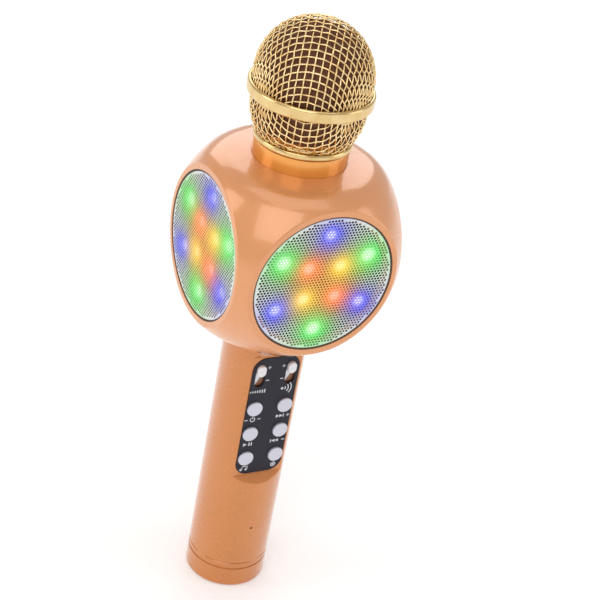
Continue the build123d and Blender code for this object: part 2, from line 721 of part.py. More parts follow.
# ================================================================= one lit face
def make_speaker_grille(face):
    """Pressed metal disc with a folded skirt."""
    front = FACE_OUT - GRILLE_SINK
    with BuildPart() as grille:
        with BuildSketch(face.offset(front - GRILLE_SKIRT)):
            Circle(GRILLE_R)
        extrude(amount=GRILLE_SKIRT)
        fillet(grille.edges().sort_by(Axis(face.origin, face.z_dir))[-1], GRILLE_THICKNESS)
        with BuildSketch(face.offset(front - GRILLE_SKIRT)):
            Circle(GRILLE_R - GRILLE_THICKNESS)
        extrude(amount=GRILLE_SKIRT - GRILLE_THICKNESS, mode=Mode.SUBTRACT)
    return grille


def make_grille_gasket(face):
    """Soft sleeve between the grille's skirt and the head."""
    back = FACE_OUT - GRILLE_SINK - GRILLE_SKIRT
    with BuildPart() as gasket:
        with BuildSketch(face.offset(back)):
            Circle(GRILLE_R + FIT + GASKET_THICKNESS)
            Circle(GRILLE_R + FIT, mode=Mode.SUBTRACT)
        extrude(amount=GRILLE_SKIRT)
    return gasket


def make_light_diffuser(face):
    """Frosted disc on four posts that stand on the light board."""
    back = FACE_OUT - DIFFUSER_DEPTH - DIFFUSER_THICKNESS
    board = FACE_OUT - FACE_WALL
    with BuildPart() as diffuser:
        with BuildSketch(face.offset(back)):
            Circle(DIFFUSER_R)
        extrude(amount=DIFFUSER_THICKNESS)
        with BuildSketch(face.offset(board)):
            with PolarLocations(POST_RING_R, 4, start_angle=0):
                Circle(POST_R)
        extrude(amount=back - board)
    return diffuser


def make_light_board(face):
    """Ring board with four curved sound windows and an open eye."""
    with BuildPart() as board:
        with BuildSketch(face.offset(LIGHT_BOARD_BACK)):
            Circle(LIGHT_BOARD_R)
            Circle(BOARD_EYE_R, mode=Mode.SUBTRACT)
            for quarter in range(4):
                start = quarter * 90 - WINDOW_SPAN / 2
                with BuildLine(mode=Mode.PRIVATE) as arc:
                    CenterArc((0, 0), WINDOW_R, start, WINDOW_SPAN)
                SlotArc(arc.wire(), WINDOW_WIDTH, mode=Mode.SUBTRACT)
        extrude(amount=LIGHT_BOARD_THICKNESS)
    return board


def make_leds(outer_angles, inner_angles):
    """The lights of one colour on all four faces."""
    spots = [ring_point(OUTER_LED_R, a) for a in outer_angles]
    spots += [ring_point(INNER_LED_R, a) for a in inner_angles]
    with BuildPart() as leds:
        for turn in FACES.values():
            with BuildSketch(face_plane(turn).offset(FACE_OUT - FACE_WALL)):
                with Locations(spots):
                    RectangleRounded(LED_SIDE, LED_SIDE, LED_SIDE / 8)
            extrude(amount=LED_HEIGHT)
    return leds


# ================================================================= speaker driver
def make_driver_frame(face):
    """Pressed basket: a flange at the front narrowing to the magnet's plate."""
    with BuildPart() as frame:
        with BuildSketch(section_plane(face)):
            with BuildLine():
                Polyline(
                    (DRIVER_R, DRIVER_FACE),
                    (DRIVER_R, DRIVER_FACE - DRIVER_FLANGE),
                    (DRIVER_WAIST_R + DRIVER_SKIN, DRIVER_FACE - DRIVER_FLANGE),
                    (DRIVER_BACK_R, DRIVER_BACK),
                    (CONE_NECK_R, DRIVER_BACK),
                    (CONE_NECK_R, DRIVER_BACK + DRIVER_SKIN),
                    (DRIVER_BACK_R - DRIVER_SKIN, DRIVER_BACK + DRIVER_SKIN),
                    (DRIVER_WAIST_R, DRIVER_FACE - 2 * CONE_SKIN),
                    (DRIVER_WAIST_R, DRIVER_FACE),
                    close=True,
                )
            make_face()
        revolve(axis=Axis(face.origin, face.z_dir))
    return frame


def make_driver_cone(face):
    """Paper cone with its dust cap, in front of the basket."""
    rim = DRIVER_WAIST_R - CONE_CLEAR
    neck = DRIVER_FACE - CONE_DEPTH
    with BuildPart() as cone:
        with BuildSketch(section_plane(face)):
            with BuildLine():
                Polyline(
                    (0, neck + CONE_NECK_R / 3),
                    (CONE_NECK_R / 2, neck + CONE_NECK_R / 4),
                    (CONE_NECK_R, neck),
                    (rim, DRIVER_FACE),
                    (rim, DRIVER_FACE - CONE_SKIN),
                    (CONE_NECK_R, neck - CONE_SKIN),
                    (0, neck - CONE_SKIN),
                    close=True,
                )
            make_face()
        revolve(axis=Axis(face.origin, face.z_dir))
    return cone


def make_driver_magnet(face):
    with BuildPart() as magnet:
        with BuildSketch(face.offset(DRIVER_BACK - SEAT - MAGNET_THICKNESS)):
            Circle(MAGNET_R)
        extrude(amount=MAGNET_THICKNESS)
        chamfer(magnet.edges().filter_by(GeomType.CIRCLE), CONE_SKIN)
    return magnet


# ================================================================= neck and capsule
def make_neck_collar():
    with BuildPart() as neck_collar:
        with BuildSketch(Plane.XY.offset(NECK_Z - NECK_SINK + SEAT)):
            Circle(NECK_R)
        extrude(amount=NECK_HEIGHT + NECK_SINK - SEAT)
        with BuildSketch(Plane.XY.offset(NECK_TOP)):
            Circle(SPIGOT_R)
        extrude(amount=SPIGOT_HEIGHT)
        with BuildSketch(Plane.XY.offset(NECK_Z - NECK_SINK - NECK_TAIL)):
            Circle(NECK_TAIL_R)
        extrude(amount=NECK_TAIL + SEAT)
        with BuildSketch(Plane.XY.offset(NECK_Z - NECK_SINK - NECK_TAIL)):
            Circle(NECK_BORE_R)
        extrude(amount=NECK_TAIL + NECK_SINK + NECK_HEIGHT + SPIGOT_HEIGHT, mode=Mode.SUBTRACT)
    return neck_collar


def make_shock_mount():
    """Rubber cup that holds the capsule in the neck's bore."""
    outer = NECK_BORE_R - SEAT
    with BuildPart() as mount:
        with BuildSketch(Plane.XY.offset(NECK_TOP)):
            Circle(outer)
        extrude(amount=MOUNT_HEIGHT)
        fillet(mount.edges().group_by(Axis.Z)[-1], MOUNT_WALL / 3)
        with BuildSketch(Plane.XY.offset(NECK_TOP + MOUNT_WALL)):
            Circle(outer - MOUNT_WALL)
        extrude(amount=MOUNT_HEIGHT, mode=Mode.SUBTRACT)
    return mount


def make_mic_capsule():
    radius = NECK_BORE_R - SEAT - MOUNT_WALL - SEAT
    with BuildPart() as capsule:
        with BuildSketch(Plane.XY.offset(NECK_TOP + MOUNT_WALL + SEAT)):
            Circle(radius)
        extrude(amount=CAPSULE_HEIGHT)
        top = capsule.faces().sort_by(Axis.Z)[-1]
        chamfer(top.edges(), CAPSULE_RIM)
        with BuildSketch(Plane.XY.offset(NECK_TOP + MOUNT_WALL + SEAT + CAPSULE_HEIGHT - CAPSULE_RIM)):
            with PolarLocations(radius / 2, 6):
                Circle(radius / 6)
            Circle(radius / 6)
        extrude(amount=CAPSULE_RIM, mode=Mode.SUBTRACT)
    return capsule


# ================================================================= mesh ball
def dome_form(outer, low):
    """Solid under the dome: a straight skirt up to the ball's centre, then a half ball."""
    with BuildPart() as form:
        with BuildSketch(Plane.XZ):
            with BuildLine():
                Polyline((0, BALL_Z), (0, low), (outer, low), (outer, BALL_Z))
                CenterArc((0, BALL_Z), outer, 0, 90)
                Line((0, BALL_Z + outer), (0, BALL_Z))
            make_face()
        revolve(axis=Axis.Z)
    return form


def bowl_form(inset, top):
    """Solid inside the bowl: one bowed side up to the band, then flared out to the ball's own width."""
    foot = (BOWL_FOOT_R - inset, BOWL_FOOT)
    waist = (BALL_R - BOWL_PINCH - inset, BOWL_WAIST)
    middle = ((foot[0] + waist[0]) / 2 + BOWL_BELLY, (foot[1] + waist[1]) / 2 - BOWL_BELLY / 3)
    with BuildPart() as form:
        with BuildSketch(Plane.XZ):
            with BuildLine():
                Line((0, BOWL_FOOT), foot)
                ThreePointArc(foot, middle, waist)
                Polyline(waist, (BALL_R - inset, BOWL_WAIST + BOWL_PINCH), (BALL_R - inset, top))
                Polyline((BALL_R - inset, top), (0, top), (0, BOWL_FOOT))
            make_face()
        revolve(axis=Axis.Z)
    return form


def make_grille_dome():
    low = BAND_Z + SEAT
    outside = dome_form(BALL_R, low)
    inside = dome_form(BALL_R - MESH_THICKNESS, low)
    with BuildPart() as dome:
        add(outside.part)
        add(inside.part, mode=Mode.SUBTRACT)
    return dome


BOWL_FOOT = NECK_TOP + BASE_RING_GAP + BASE_RING_HEIGHT + SEAT
BOWL_TOP = BAND_Z - SEAT
BOWL_WAIST = BAND_Z - BAND_HEIGHT / 2


def make_grille_bowl():
    outside = bowl_form(0, BOWL_TOP)
    inside = bowl_form(MESH_THICKNESS, BOWL_TOP)
    with BuildPart() as bowl:
        add(outside.part)
        add(inside.part, mode=Mode.SUBTRACT)
    return bowl


def make_grille_band():
    inner = BALL_R + SEAT
    with BuildPart() as band:
        with BuildSketch(Plane.XY.offset(BAND_Z - BAND_HEIGHT / 2)):
            Circle(inner + BAND_PROUD)
        extrude(amount=BAND_HEIGHT)
        fillet(band.edges().filter_by(GeomType.CIRCLE), BAND_EDGE)
        with BuildSketch(Plane.XY.offset(BAND_Z - BAND_HEIGHT / 2)):
            Circle(inner)
        extrude(amount=BAND_HEIGHT, mode=Mode.SUBTRACT)
    return band


def make_grille_base_ring():
    """Threaded foot of the ball, with a sleeve that stands inside the bowl."""
    low = NECK_TOP + BASE_RING_GAP
    with BuildPart() as ring:
        with BuildSketch(Plane.XY.offset(low)):
            Circle(BASE_RING_R)
        extrude(amount=BASE_RING_HEIGHT)
        fillet(ring.edges().filter_by(GeomType.CIRCLE), BASE_RING_HEIGHT / 3)
        with BuildSketch(Plane.XY.offset(low + BASE_RING_HEIGHT / 2)):
            Circle(BOWL_FOOT_R - MESH_THICKNESS - SEAT)
        extrude(amount=BASE_RING_HEIGHT / 2 + BASE_SLEEVE)
        with BuildSketch(Plane.XY.offset(low)):
            Circle(SPIGOT_R + FIT)
        extrude(amount=BASE_RING_HEIGHT + BASE_SLEEVE, mode=Mode.SUBTRACT)
    return ring


def make_foam_windscreen():
    """Foam liner that follows the inside of the mesh."""
    skin = MESH_THICKNESS + FOAM_GAP
    low = NECK_TOP + max(SPIGOT_HEIGHT, BASE_RING_GAP + BASE_RING_HEIGHT + BASE_SLEEVE) + FOAM_GAP
    outer_dome = dome_form(BALL_R - skin, BAND_Z)
    outer_bowl = bowl_form(skin, BALL_Z)
    inner_dome = dome_form(BALL_R - skin - FOAM_THICKNESS, BAND_Z)
    inner_bowl = bowl_form(skin + FOAM_THICKNESS, BALL_Z)
    with BuildPart() as foam:
        add(outer_dome.part)
        add(outer_bowl.part)
        add(inner_dome.part, mode=Mode.SUBTRACT)
        add(inner_bowl.part, mode=Mode.SUBTRACT)
        with BuildSketch(Plane.XY.offset(BOWL_FOOT)):
            Circle(BALL_R)
        extrude(amount=low - BOWL_FOOT, mode=Mode.SUBTRACT)
    return foam


# ================================================================= write every piece
save(make_grille_dome(), "grille_dome")
save(make_grille_bowl(), "grille_bowl")
save(make_grille_band(), "grille_band")
save(make_grille_base_ring(), "grille_base_ring")
save(make_foam_windscreen(), "foam_windscreen")
save(make_neck_collar(), "neck_collar")
save(make_shock_mount(), "capsule_shock_mount")
save(make_mic_capsule(), "mic_capsule")

save(make_head_shell(1), "head_shell_front")
save(make_head_shell(-1), "head_shell_rear")
save(make_head_screws(), "head_screws")
NECK_RING_TOP = HEAD_Z + head_height(NECK_TAIL_R + LOCK_RING_WIDTH, HEAD_WALL) - SEAT
HANDLE_RING_FOOT = HEAD_Z - head_height(HANDLE_R + LOCK_RING_WIDTH, HEAD_WALL) + SEAT
save(make_lock_ring(NECK_TAIL_R, NECK_RING_TOP - LOCK_RING_HEIGHT), "neck_lock_ring")
save(make_lock_ring(HANDLE_R, HANDLE_RING_FOOT), "handle_lock_ring")

for side, turn in FACES.items():
    outward = face_plane(turn)
    save(make_speaker_grille(outward), f"speaker_grille_{side}")
    save(make_grille_gasket(outward), f"grille_gasket_{side}")
    save(make_light_diffuser(outward), f"light_diffuser_{side}")
    save(make_light_board(outward), f"light_board_{side}")
    if side in ("left", "right"):
        save(make_driver_frame(outward), f"driver_frame_{side}")
        save(make_driver_cone(outward), f"driver_cone_{side}")
        save(make_driver_magnet(outward), f"driver_magnet_{side}")

save(make_leds((30, 150, 270), ()), "leds_green")
save(make_leds((90, 210, 330), ()), "leds_blue")
save(make_leds((), (135, 315)), "leds_orange")
save(make_leds((), (45, 225)), "leds_yellow")

save(make_handle_tube(), "handle_tube")
save(make_end_cap(), "end_cap")
save(make_control_panel(), "control_panel")
BUTTON_NAMES = (
    ("button_accompaniment", "button_play_pause", "button_power"),
    ("button_record", "button_previous", "button_next"),
)
for x, names in zip(BUTTON_XS, BUTTON_NAMES):
    for z, name in zip(BUTTON_ZS, names):
        save(make_button(x, z), name)
save(make_slider_knob(BUTTON_XS[0]), "slider_mic_volume")
save(make_slider_knob(BUTTON_XS[1]), "slider_reverb")
save(make_charge_indicator(), "charge_indicator")
save(make_button_mat(), "button_mat")
save(make_slider_pots(), "slider_pots")
save(make_main_board(), "main_board")
save(make_battery_cell(), "battery_cell")
save(make_battery_cradle(), "battery_cradle")
save(make_battery_contacts(), "battery_contacts")
save(make_audio_jack(), "audio_jack")
save(make_micro_usb_socket(), "micro_usb_socket")
save(make_card_slot(), "card_slot")
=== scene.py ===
"""Karaoke microphone: materials, woven wire, perforated grilles, foam and printed marks."""

import math

import bpy
import numpy as np
from mathutils import Matrix, Vector, noise


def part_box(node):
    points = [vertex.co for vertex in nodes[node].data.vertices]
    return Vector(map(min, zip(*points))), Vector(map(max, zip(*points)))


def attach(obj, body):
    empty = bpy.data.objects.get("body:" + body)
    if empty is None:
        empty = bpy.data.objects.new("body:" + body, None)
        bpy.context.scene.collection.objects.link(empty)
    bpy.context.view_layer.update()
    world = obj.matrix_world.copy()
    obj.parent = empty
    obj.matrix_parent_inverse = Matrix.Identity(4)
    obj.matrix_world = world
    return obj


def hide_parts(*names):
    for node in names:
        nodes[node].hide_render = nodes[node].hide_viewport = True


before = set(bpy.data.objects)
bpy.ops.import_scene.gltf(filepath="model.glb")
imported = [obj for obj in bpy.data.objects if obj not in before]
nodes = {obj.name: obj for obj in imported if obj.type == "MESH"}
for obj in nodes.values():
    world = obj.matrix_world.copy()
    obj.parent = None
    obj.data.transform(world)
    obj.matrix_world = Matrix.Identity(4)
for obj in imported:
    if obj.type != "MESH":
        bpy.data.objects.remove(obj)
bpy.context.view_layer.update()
MM = 0.001


def middle(node):
    """Centre of a node's box."""
    low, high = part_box(node)
    return (low + high) / 2


def nodes_named(prefix, but=()):
    return [name for name in nodes if name.startswith(prefix) and name not in but]


# ------------------------------------------------------------------ camera
CAMERA_TURNS = (-31.75, 31.08, -11.05)  # azimuth, elevation and roll in degrees
CAMERA_PLACE = (-0.31893, -0.53711, 0.52316)
CAMERA_LENS, CAMERA_SENSOR = 103.44, 36
CAMERA_NEAR = 0.01


def add_camera():
    azimuth, elevation, roll = map(math.radians, CAMERA_TURNS)
    back = Vector(
        (
            math.sin(azimuth) * math.cos(elevation),
            -math.cos(azimuth) * math.cos(elevation),
            math.sin(elevation),
        )
    )
    level = (-back).cross(Vector((0, 0, 1))).normalized()
    rise = level.cross(-back)
    right = level * math.cos(roll) - rise * math.sin(roll)
    up = level * math.sin(roll) + rise * math.cos(roll)
    camera = bpy.data.objects.new("camera", bpy.data.cameras.new("camera"))
    camera.data.lens = CAMERA_LENS
    camera.data.sensor_width = CAMERA_SENSOR
    camera.data.clip_start = CAMERA_NEAR
    turn = Matrix((right, up, back)).transposed().to_4x4()
    camera.matrix_world = Matrix.Translation(CAMERA_PLACE) @ turn
    bpy.context.scene.collection.objects.link(camera)
    bpy.context.scene.camera = camera


# ------------------------------------------------------------------ shader maths
class Wire:
    """A node socket that does arithmetic by adding Math nodes."""

    def __init__(self, finish, socket):
        self.finish, self.socket = finish, socket

    def _math(self, operation, *values):
        return self.finish.node("ShaderNodeMath", {"operation": operation}, dict(enumerate(values)))

    def __add__(self, other):
        return self._math("ADD", self, other)

    def __sub__(self, other):
        return self._math("SUBTRACT", self, other)

    def __rsub__(self, other):
        return self._math("SUBTRACT", other, self)

    def __mul__(self, other):
        return self._math("MULTIPLY", self, other)

    def __truediv__(self, other):
        return self._math("DIVIDE", self, other)

    def __rtruediv__(self, other):
        return self._math("DIVIDE", other, self)

    def __pow__(self, other):
        return self._math("POWER", self, other)

    def __gt__(self, other):
        return self._math("GREATER_THAN", self, other)

    def __lt__(self, other):
        return self._math("LESS_THAN", self, other)

    def lowest(self, other):
        return self._math("MINIMUM", self, other)

    __radd__ = __add__
    __rmul__ = __mul__


class Finish:
    """One material on a Principled shader, built from nodes."""

    def __init__(self, name, **settings):
        self.material = bpy.data.materials.new(name)
        self.material.use_nodes = True
        self.tree = self.material.node_tree
        self.shader = self.tree.nodes["Principled BSDF"]
        for socket, value in settings.items():
            self.shader.inputs[socket.replace("_", " ").title().replace("Ior", "IOR")].default_value = value

    def node(self, kind, settings=None, sockets=None, out=0):
        node = self.tree.nodes.new(kind)
        for key, value in (settings or {}).items():
            setattr(node, key, value)
        for key, value in (sockets or {}).items():
            self.plug(node.inputs[key], value)
        return Wire(self, node.outputs[out])

    def plug(self, target, value):
        if isinstance(value, Wire):
            self.tree.links.new(value.socket, target)
        elif isinstance(value, tuple) and len(value) == 3 and target.type == "RGBA":
            target.default_value = (*value, 1)
        else:
            target.default_value = value

    def out(self, socket, value):
        self.plug(self.shader.inputs[socket], value)

    def place(self):
        return self.node("ShaderNodeTexCoord", out=3)

    def vector(self, operation, *values, scale=None, out=0):
        sockets = dict(enumerate(values))
        if scale is not None:
            sockets["Scale"] = scale
        return self.node("ShaderNodeVectorMath", {"operation": operation}, sockets, out)

    def axes(self):
        split = self.node("ShaderNodeSeparateXYZ", sockets={0: self.place()})
        outputs = split.socket.node.outputs
        return [Wire(self, outputs[i]) for i in range(3)]

    def noise(self, scale, detail=3.0, rough=0.55, vector=None):
        return self.node(
            "ShaderNodeTexNoise",
            sockets={"Vector": vector or self.place(), "Scale": scale, "Detail": detail, "Roughness": rough},
        )

    def mix(self, factor, first, second):
        return self.node("ShaderNodeMix", {"data_type": "RGBA"}, {0: factor, 6: first, 7: second}, out=2)

    def ramp(self, value, low, high, to_low=0.0, to_high=1.0, smooth=False):
        return self.node(
            "ShaderNodeMapRange",
            {"interpolation_type": "SMOOTHSTEP" if smooth else "LINEAR"},
            {0: value, 1: low, 2: high, 3: to_low, 4: to_high},
        )

    def bump(self, height, strength, distance=0.1 * MM):
        sockets = {"Strength": strength, "Distance": distance, "Height": height}
        self.out("Normal", self.node("ShaderNodeBump", sockets=sockets))

    def on(self, *names):
        for name in names:
            dress(nodes[name] if isinstance(name, str) else name, self.material)
        return self


def dress(piece, material):
    piece.data.materials.clear()
    piece.data.materials.append(material)


def linear(*srgb):
    """Linear colour from sRGB values of 0 to 255."""
    return tuple(((c / 255 + 0.055) / 1.055) ** 2.4 if c > 10 else c / 255 / 12.92 for c in srgb)


# ------------------------------------------------------------------ finishes
def gold_paint(name, colour, deep, metallic, rough, coat):
    """Pearl gold lacquer: fine flake, slow colour drift, faint handling marks."""
    paint = Finish(name, metallic=metallic, coat_weight=coat, coat_roughness=0.045, ior=1.5)
    drift = paint.ramp(paint.noise(22.0, 2.0), 0.3, 0.7)
    flake = paint.ramp(paint.noise(5200.0, 1.0), 0.42, 0.62)
    base = paint.mix(drift * 0.45, colour, deep)
    paint.out("Base Color", paint.mix(flake * 0.04, base, tuple(min(1, c * 1.35 + 0.03) for c in colour)))
    smear = paint.ramp(paint.noise(60.0, 4.0, 0.7), 0.45, 0.75)
    paint.out("Roughness", rough + smear * 0.07 + flake * 0.015)
    paint.bump(paint.noise(700.0, 2.0), 0.01)
    return paint


def gold_wire(name, rough, colour, deep):
    wire = Finish(name, metallic=1.0)
    wire.out("Base Color", wire.mix(wire.ramp(wire.noise(140.0, 3.0), 0.35, 0.7), colour, deep))
    wire.out("Roughness", rough + wire.ramp(wire.noise(700.0, 3.0), 0.3, 0.8) * 0.12)
    wire.bump(wire.noise(2600.0, 2.0), 0.08)
    return wire


def moulded(name, colour, rough, grain=1800.0, depth=0.15, spread=0.25, **settings):
    """Moulded plastic, rubber or board: mottled colour and a fine grain."""
    skin = Finish(name, **settings)
    tone = skin.ramp(skin.noise(90.0, 3.0), 0.3, 0.7)
    skin.out("Base Color", skin.mix(tone * spread, colour, tuple(c * 0.6 for c in colour)))
    skin.out("Roughness", rough + skin.noise(300.0, 3.0) * 0.12)
    skin.bump(skin.noise(grain, 2.0), depth)
    return skin


def plated(name, colour, rough, metallic=1.0):
    """Stamped or satin-plated metal with fine brushing."""
    metal = Finish(name, metallic=metallic)
    stretched = metal.node("ShaderNodeMapping", sockets={0: metal.place(), 3: (1.0, 1.0, 14.0)})
    brushing = metal.noise(900.0, 3.0, 0.6, stretched)
    metal.out("Base Color", metal.mix(brushing * 0.35, colour, tuple(c * 0.7 for c in colour)))
    metal.out("Roughness", rough + brushing * 0.14)
    metal.bump(brushing, 0.06)
    return metal


# ------------------------------------------------------------------ lit faces
FACES = {"front": 0, "right": 90, "rear": 180, "left": 270}
GREEN, BLUE, ORANGE, YELLOW = (0.12, 0.76, 0.16), (0.10, 0.11, 0.90), (1.00, 0.16, 0.04), (0.92, 0.60, 0.02)
RING_OUT, RING_IN = 22.0, 10.0
# How wide each colour blooms, and how white its middle is.
BLOOM = {GREEN: (1.3, 1.0), BLUE: (1.0, 0.8), ORANGE: (1.05, 0.45), YELLOW: (1.05, 0.45)}
# Distance from the face's middle in mm, angle and colour of each light.
LIGHTS = [(RING_OUT, angle, BLUE if angle in (90, -30, -150) else GREEN) for angle in range(-150, 151, 60)]
LIGHTS += [(RING_IN, 135, ORANGE), (RING_IN, 45, YELLOW), (RING_IN, -45, ORANGE), (RING_IN, -135, YELLOW)]


def face_axes(turn):
    """Across, up and outward of the face that is turned by some degrees from the front."""
    turn = math.radians(turn)
    across = Vector((math.cos(turn), math.sin(turn), 0))
    outward = Vector((math.sin(turn), -math.cos(turn), 0))
    return across, Vector((0, 0, 1)), outward


def light_places(side):
    """Centre and colour of each light of one face, in the plane of its grille."""
    across, up, _ = face_axes(FACES[side])
    centre = middle(f"speaker_grille_{side}")
    for radius, angle, colour in LIGHTS:
        turn = math.radians(angle)
        yield centre + (across * math.cos(turn) + up * math.sin(turn)) * radius * MM, colour


def glow_of(finish, side, reach, fall, core):
    """Coloured halos, their total strength and the pale middles of all the lights of one face.

    reach and core are in mm; fall is how steeply a halo dies away past its reach.
    """
    here = finish.place()
    colour = total = centre = None
    for place, tint in light_places(side):
        gap = finish.vector("DISTANCE", here, tuple(place), out=1)
        wide, pale = BLOOM[tint]
        away = gap / (reach * wide * MM)
        halo = 1.0 / (away * away + 1.0) ** fall
        lit = finish.vector("SCALE", tint, scale=halo)
        spot = finish.ramp(gap, core * MM * 0.3, core * wide * MM, pale, 0.0, smooth=True)
        if colour is None:
            colour, total, centre = lit, halo, spot
        else:
            colour = finish.vector("ADD", colour, lit)
            total, centre = total + halo, centre + spot
    return colour, total, centre


def lit_diffuser(side):
    """Dark translucent plate, bright white over each light: the near-black colour is painted shade in the
    holes away from the lights, and the emission is painted glow of the lights.
    """
    plate = Finish(f"frosted_plate_{side}", roughness=0.6, specular_ior_level=0.1)
    # Near-black base colour: painted shade seen through the holes away from the lights.
    plate.out("Base Color", plate.mix(plate.noise(500.0) * 0.4, (0.008, 0.007, 0.008), (0.016, 0.014, 0.016)))
    # Emission: painted glow of the lights, coloured halos with white middles.
    colour, _, core = glow_of(plate, side, reach=6.6, fall=3.0, core=3.2)
    plate.out("Emission Color", plate.mix(core * 0.68, colour, (1.0, 1.0, 1.0)))
    plate.shader.inputs["Emission Strength"].default_value = 1.6
    return plate


def perforated_silver(side):
    """Satin silver sheet with the lights' colour painted on around them: a tinted base colour and a faint
    painted glow.
    """
    sheet = Finish(f"perforated_silver_{side}", metallic=0.75)
    colour, total, core = glow_of(sheet, side, reach=8.0, fall=1.9, core=3.4)
    tone = sheet.ramp(sheet.noise(60.0, 3.0), 0.3, 0.7)
    silver = sheet.mix(tone * 0.25, (0.80, 0.78, 0.78), (0.62, 0.60, 0.60))
    hue = sheet.vector("SCALE", colour, scale=1.0 / (total + 0.02))
    # Base colour tinted towards the lights' hue: painted coloured light on the metal.
    sheet.out("Base Color", sheet.mix((total * 1.15).lowest(0.94), silver, hue))
    sheet.out("Roughness", 0.30 + sheet.noise(900.0) * 0.12)
    # Emission on the metal: painted glow, white near each light's middle.
    sheet.out("Emission Color", sheet.mix(core * 0.36, colour, (1.0, 1.0, 1.0)))
    sheet.shader.inputs["Emission Strength"].default_value = 0.3
    sheet.bump(sheet.noise(2400.0, 2.0), 0.05)
    return sheet


# ------------------------------------------------------------------ mesh tools
def solid(name, points, faces, body, smooth=True):
    mesh = bpy.data.meshes.new(name)
    mesh.from_pydata([tuple(p) for p in points], [], faces)
    mesh.validate()
    mesh.update()
    if smooth:
        mesh.shade_smooth()
    piece = bpy.data.objects.new(name, mesh)
    bpy.context.scene.collection.objects.link(piece)
    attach(piece, body)
    return piece


def spun(name, profile, body, steps):
    """Surface of revolution about the microphone's axis from (radius, height) pairs in metres."""
    points, faces = [], []
    count = len(profile)
    for i in range(steps):
        turn = 2 * math.pi * i / steps
        points += [(r * math.cos(turn), r * math.sin(turn), z) for r, z in profile]
    for i in range(steps):
        j = (i + 1) % steps
        for k in range(count):
            m = (k + 1) % count
            faces.append((i * count + k, j * count + k, j * count + m, i * count + m))
    return solid(name, points, faces, body)


# ------------------------------------------------------------------ woven wire
WIRE = 0.35 * MM  # radius of the wire
WEAVE = 0.27 * MM  # how far a wire rises and dips at each crossing
PITCH = 2.95 * MM
NET_CELLS = 19  # crossings from the pole outwards
WEAVE_TURN = math.radians(-122)
AROUND = 6  # sides of the wire
FINE = 4  # steps from one crossing to the next


class RoundForm:
    """A surface of revolution followed by its meridian's length from the pole."""

    def __init__(self, profile):
        self.profile = np.array(profile)
        steps = np.linalg.norm(np.diff(self.profile, axis=0), axis=1)
        self.length = np.concatenate([[0], np.cumsum(steps)])

    def at(self, s, turn):
        r = np.interp(s, self.length, self.profile[:, 0])
        z = np.interp(s, self.length, self.profile[:, 1])
        return np.array([r * math.cos(turn), r * math.sin(turn), z])

    def heading(self, s):
        """Direction of the meridian, as (radius, height)."""
        ahead = np.array([np.interp(s + 1e-4, self.length, self.profile[:, k]) for k in (0, 1)])
        behind = np.array([np.interp(s - 1e-4, self.length, self.profile[:, k]) for k in (0, 1)])
        run = ahead - behind
        run /= np.linalg.norm(run) + 1e-12
        return run


NEWTON_STEPS, CLOSE, LOOSE = 30, 1e-8, 2e-5  # tries, and the gaps in metres to stop at and to accept
NUDGE = np.array([1e-6, 1e-4])  # metres along the meridian and radians round the form


def net_of(form, cells, pitch):
    """One quarter of the net that a square mesh makes when it is drawn over the form.

    Each crossing lies one pitch from its two inner neighbours, and is found by Newton's method.
    """
    net = {(0, 0): (0.0, math.pi / 4)}
    for i in range(1, cells):
        net[i, 0] = (i * pitch, 0.0)
        net[0, i] = (i * pitch, math.pi / 2)

    def gap(spot, other):
        return np.linalg.norm(form.at(*spot) - form.at(*net[other])) - pitch

    for total in range(2, 2 * cells):
        for i in range(1, total):
            j = total - i
            if (i - 1, j) not in net or (i, j - 1) not in net or i >= cells or j >= cells:
                continue
            first, second = net[i - 1, j], net[i, j - 1]
            s = max(first[0], second[0]) + pitch * 0.5
            turn = (first[1] + second[1]) / 2
            if i == 1 and j == 1:
                s, turn = pitch * 1.4, math.pi / 4
            spot = np.array([s, turn])
            for _ in range(NEWTON_STEPS):
                here = np.array([gap(spot, (i - 1, j)), gap(spot, (i, j - 1))])
                if np.abs(here).max() < CLOSE:
                    break
                jacobian = np.empty((2, 2))
                for k in range(2):
                    moved = spot.copy()
                    moved[k] += NUDGE[k]
                    there = np.array([gap(moved, (i - 1, j)), gap(moved, (i, j - 1))])
                    jacobian[:, k] = (there - here) / NUDGE[k]
                if abs(np.linalg.det(jacobian)) < 1e-9:
                    break
                change = np.linalg.solve(jacobian, here)
                limit = max(1.0, abs(change[0]) / pitch, abs(change[1]) / 0.4)
                spot = spot - change / limit
            here = np.array([gap(spot, (i - 1, j)), gap(spot, (i, j - 1))])
            if np.abs(here).max() < LOOSE and spot[0] > max(first[0], second[0]) - pitch * 0.3:
                net[i, j] = (float(spot[0]), float(spot[1]))
    return net


def stretches_of(run):
    """The crossings of one wire, split where the net has a gap."""
    stretches, current = [], []
    for entry in run:
        if current and entry[0] != current[-1][0] + 1:
            stretches.append(current)
            current = []
        current.append(entry)
    return [stretch for stretch in stretches + [current] if len(stretch) > 1]


def smooth_wire(stretch):
    """Places and normals along a wire that passes over and under by turns."""
    places, normals, lifts = (np.array([entry[k] for entry in stretch]) for k in (1, 2, 3))
    padded = np.vstack([2 * places[0] - places[1], places, 2 * places[-1] - places[-2]])
    line = []
    for k in range(len(stretch) - 1):
        p0, p1, p2, p3 = padded[k : k + 4]
        for f in range(FINE + (k == len(stretch) - 2)):
            t = f / FINE
            p = 0.5 * (
                2 * p1
                + (p2 - p0) * t
                + (2 * p0 - 5 * p1 + 4 * p2 - p3) * t * t
                + (3 * p1 - p0 - 3 * p2 + p3) * t**3
            )
            n = normals[k] * (1 - t) + normals[k + 1] * t
            n /= np.linalg.norm(n)
            blend = (1 - math.cos(math.pi * t)) / 2
            lift = lifts[k] * (1 - blend) + lifts[k + 1] * blend
            line.append(np.concatenate([p + n * lift, n]))
    return line


def kept_parts(line, low, high):
    """The parts of a wire that lie between two heights."""
    part = []
    for entry in line + [None]:
        if entry is not None and low <= entry[2] <= high:
            part.append(entry)
            continue
        if len(part) > 2:
            yield part
        part = []


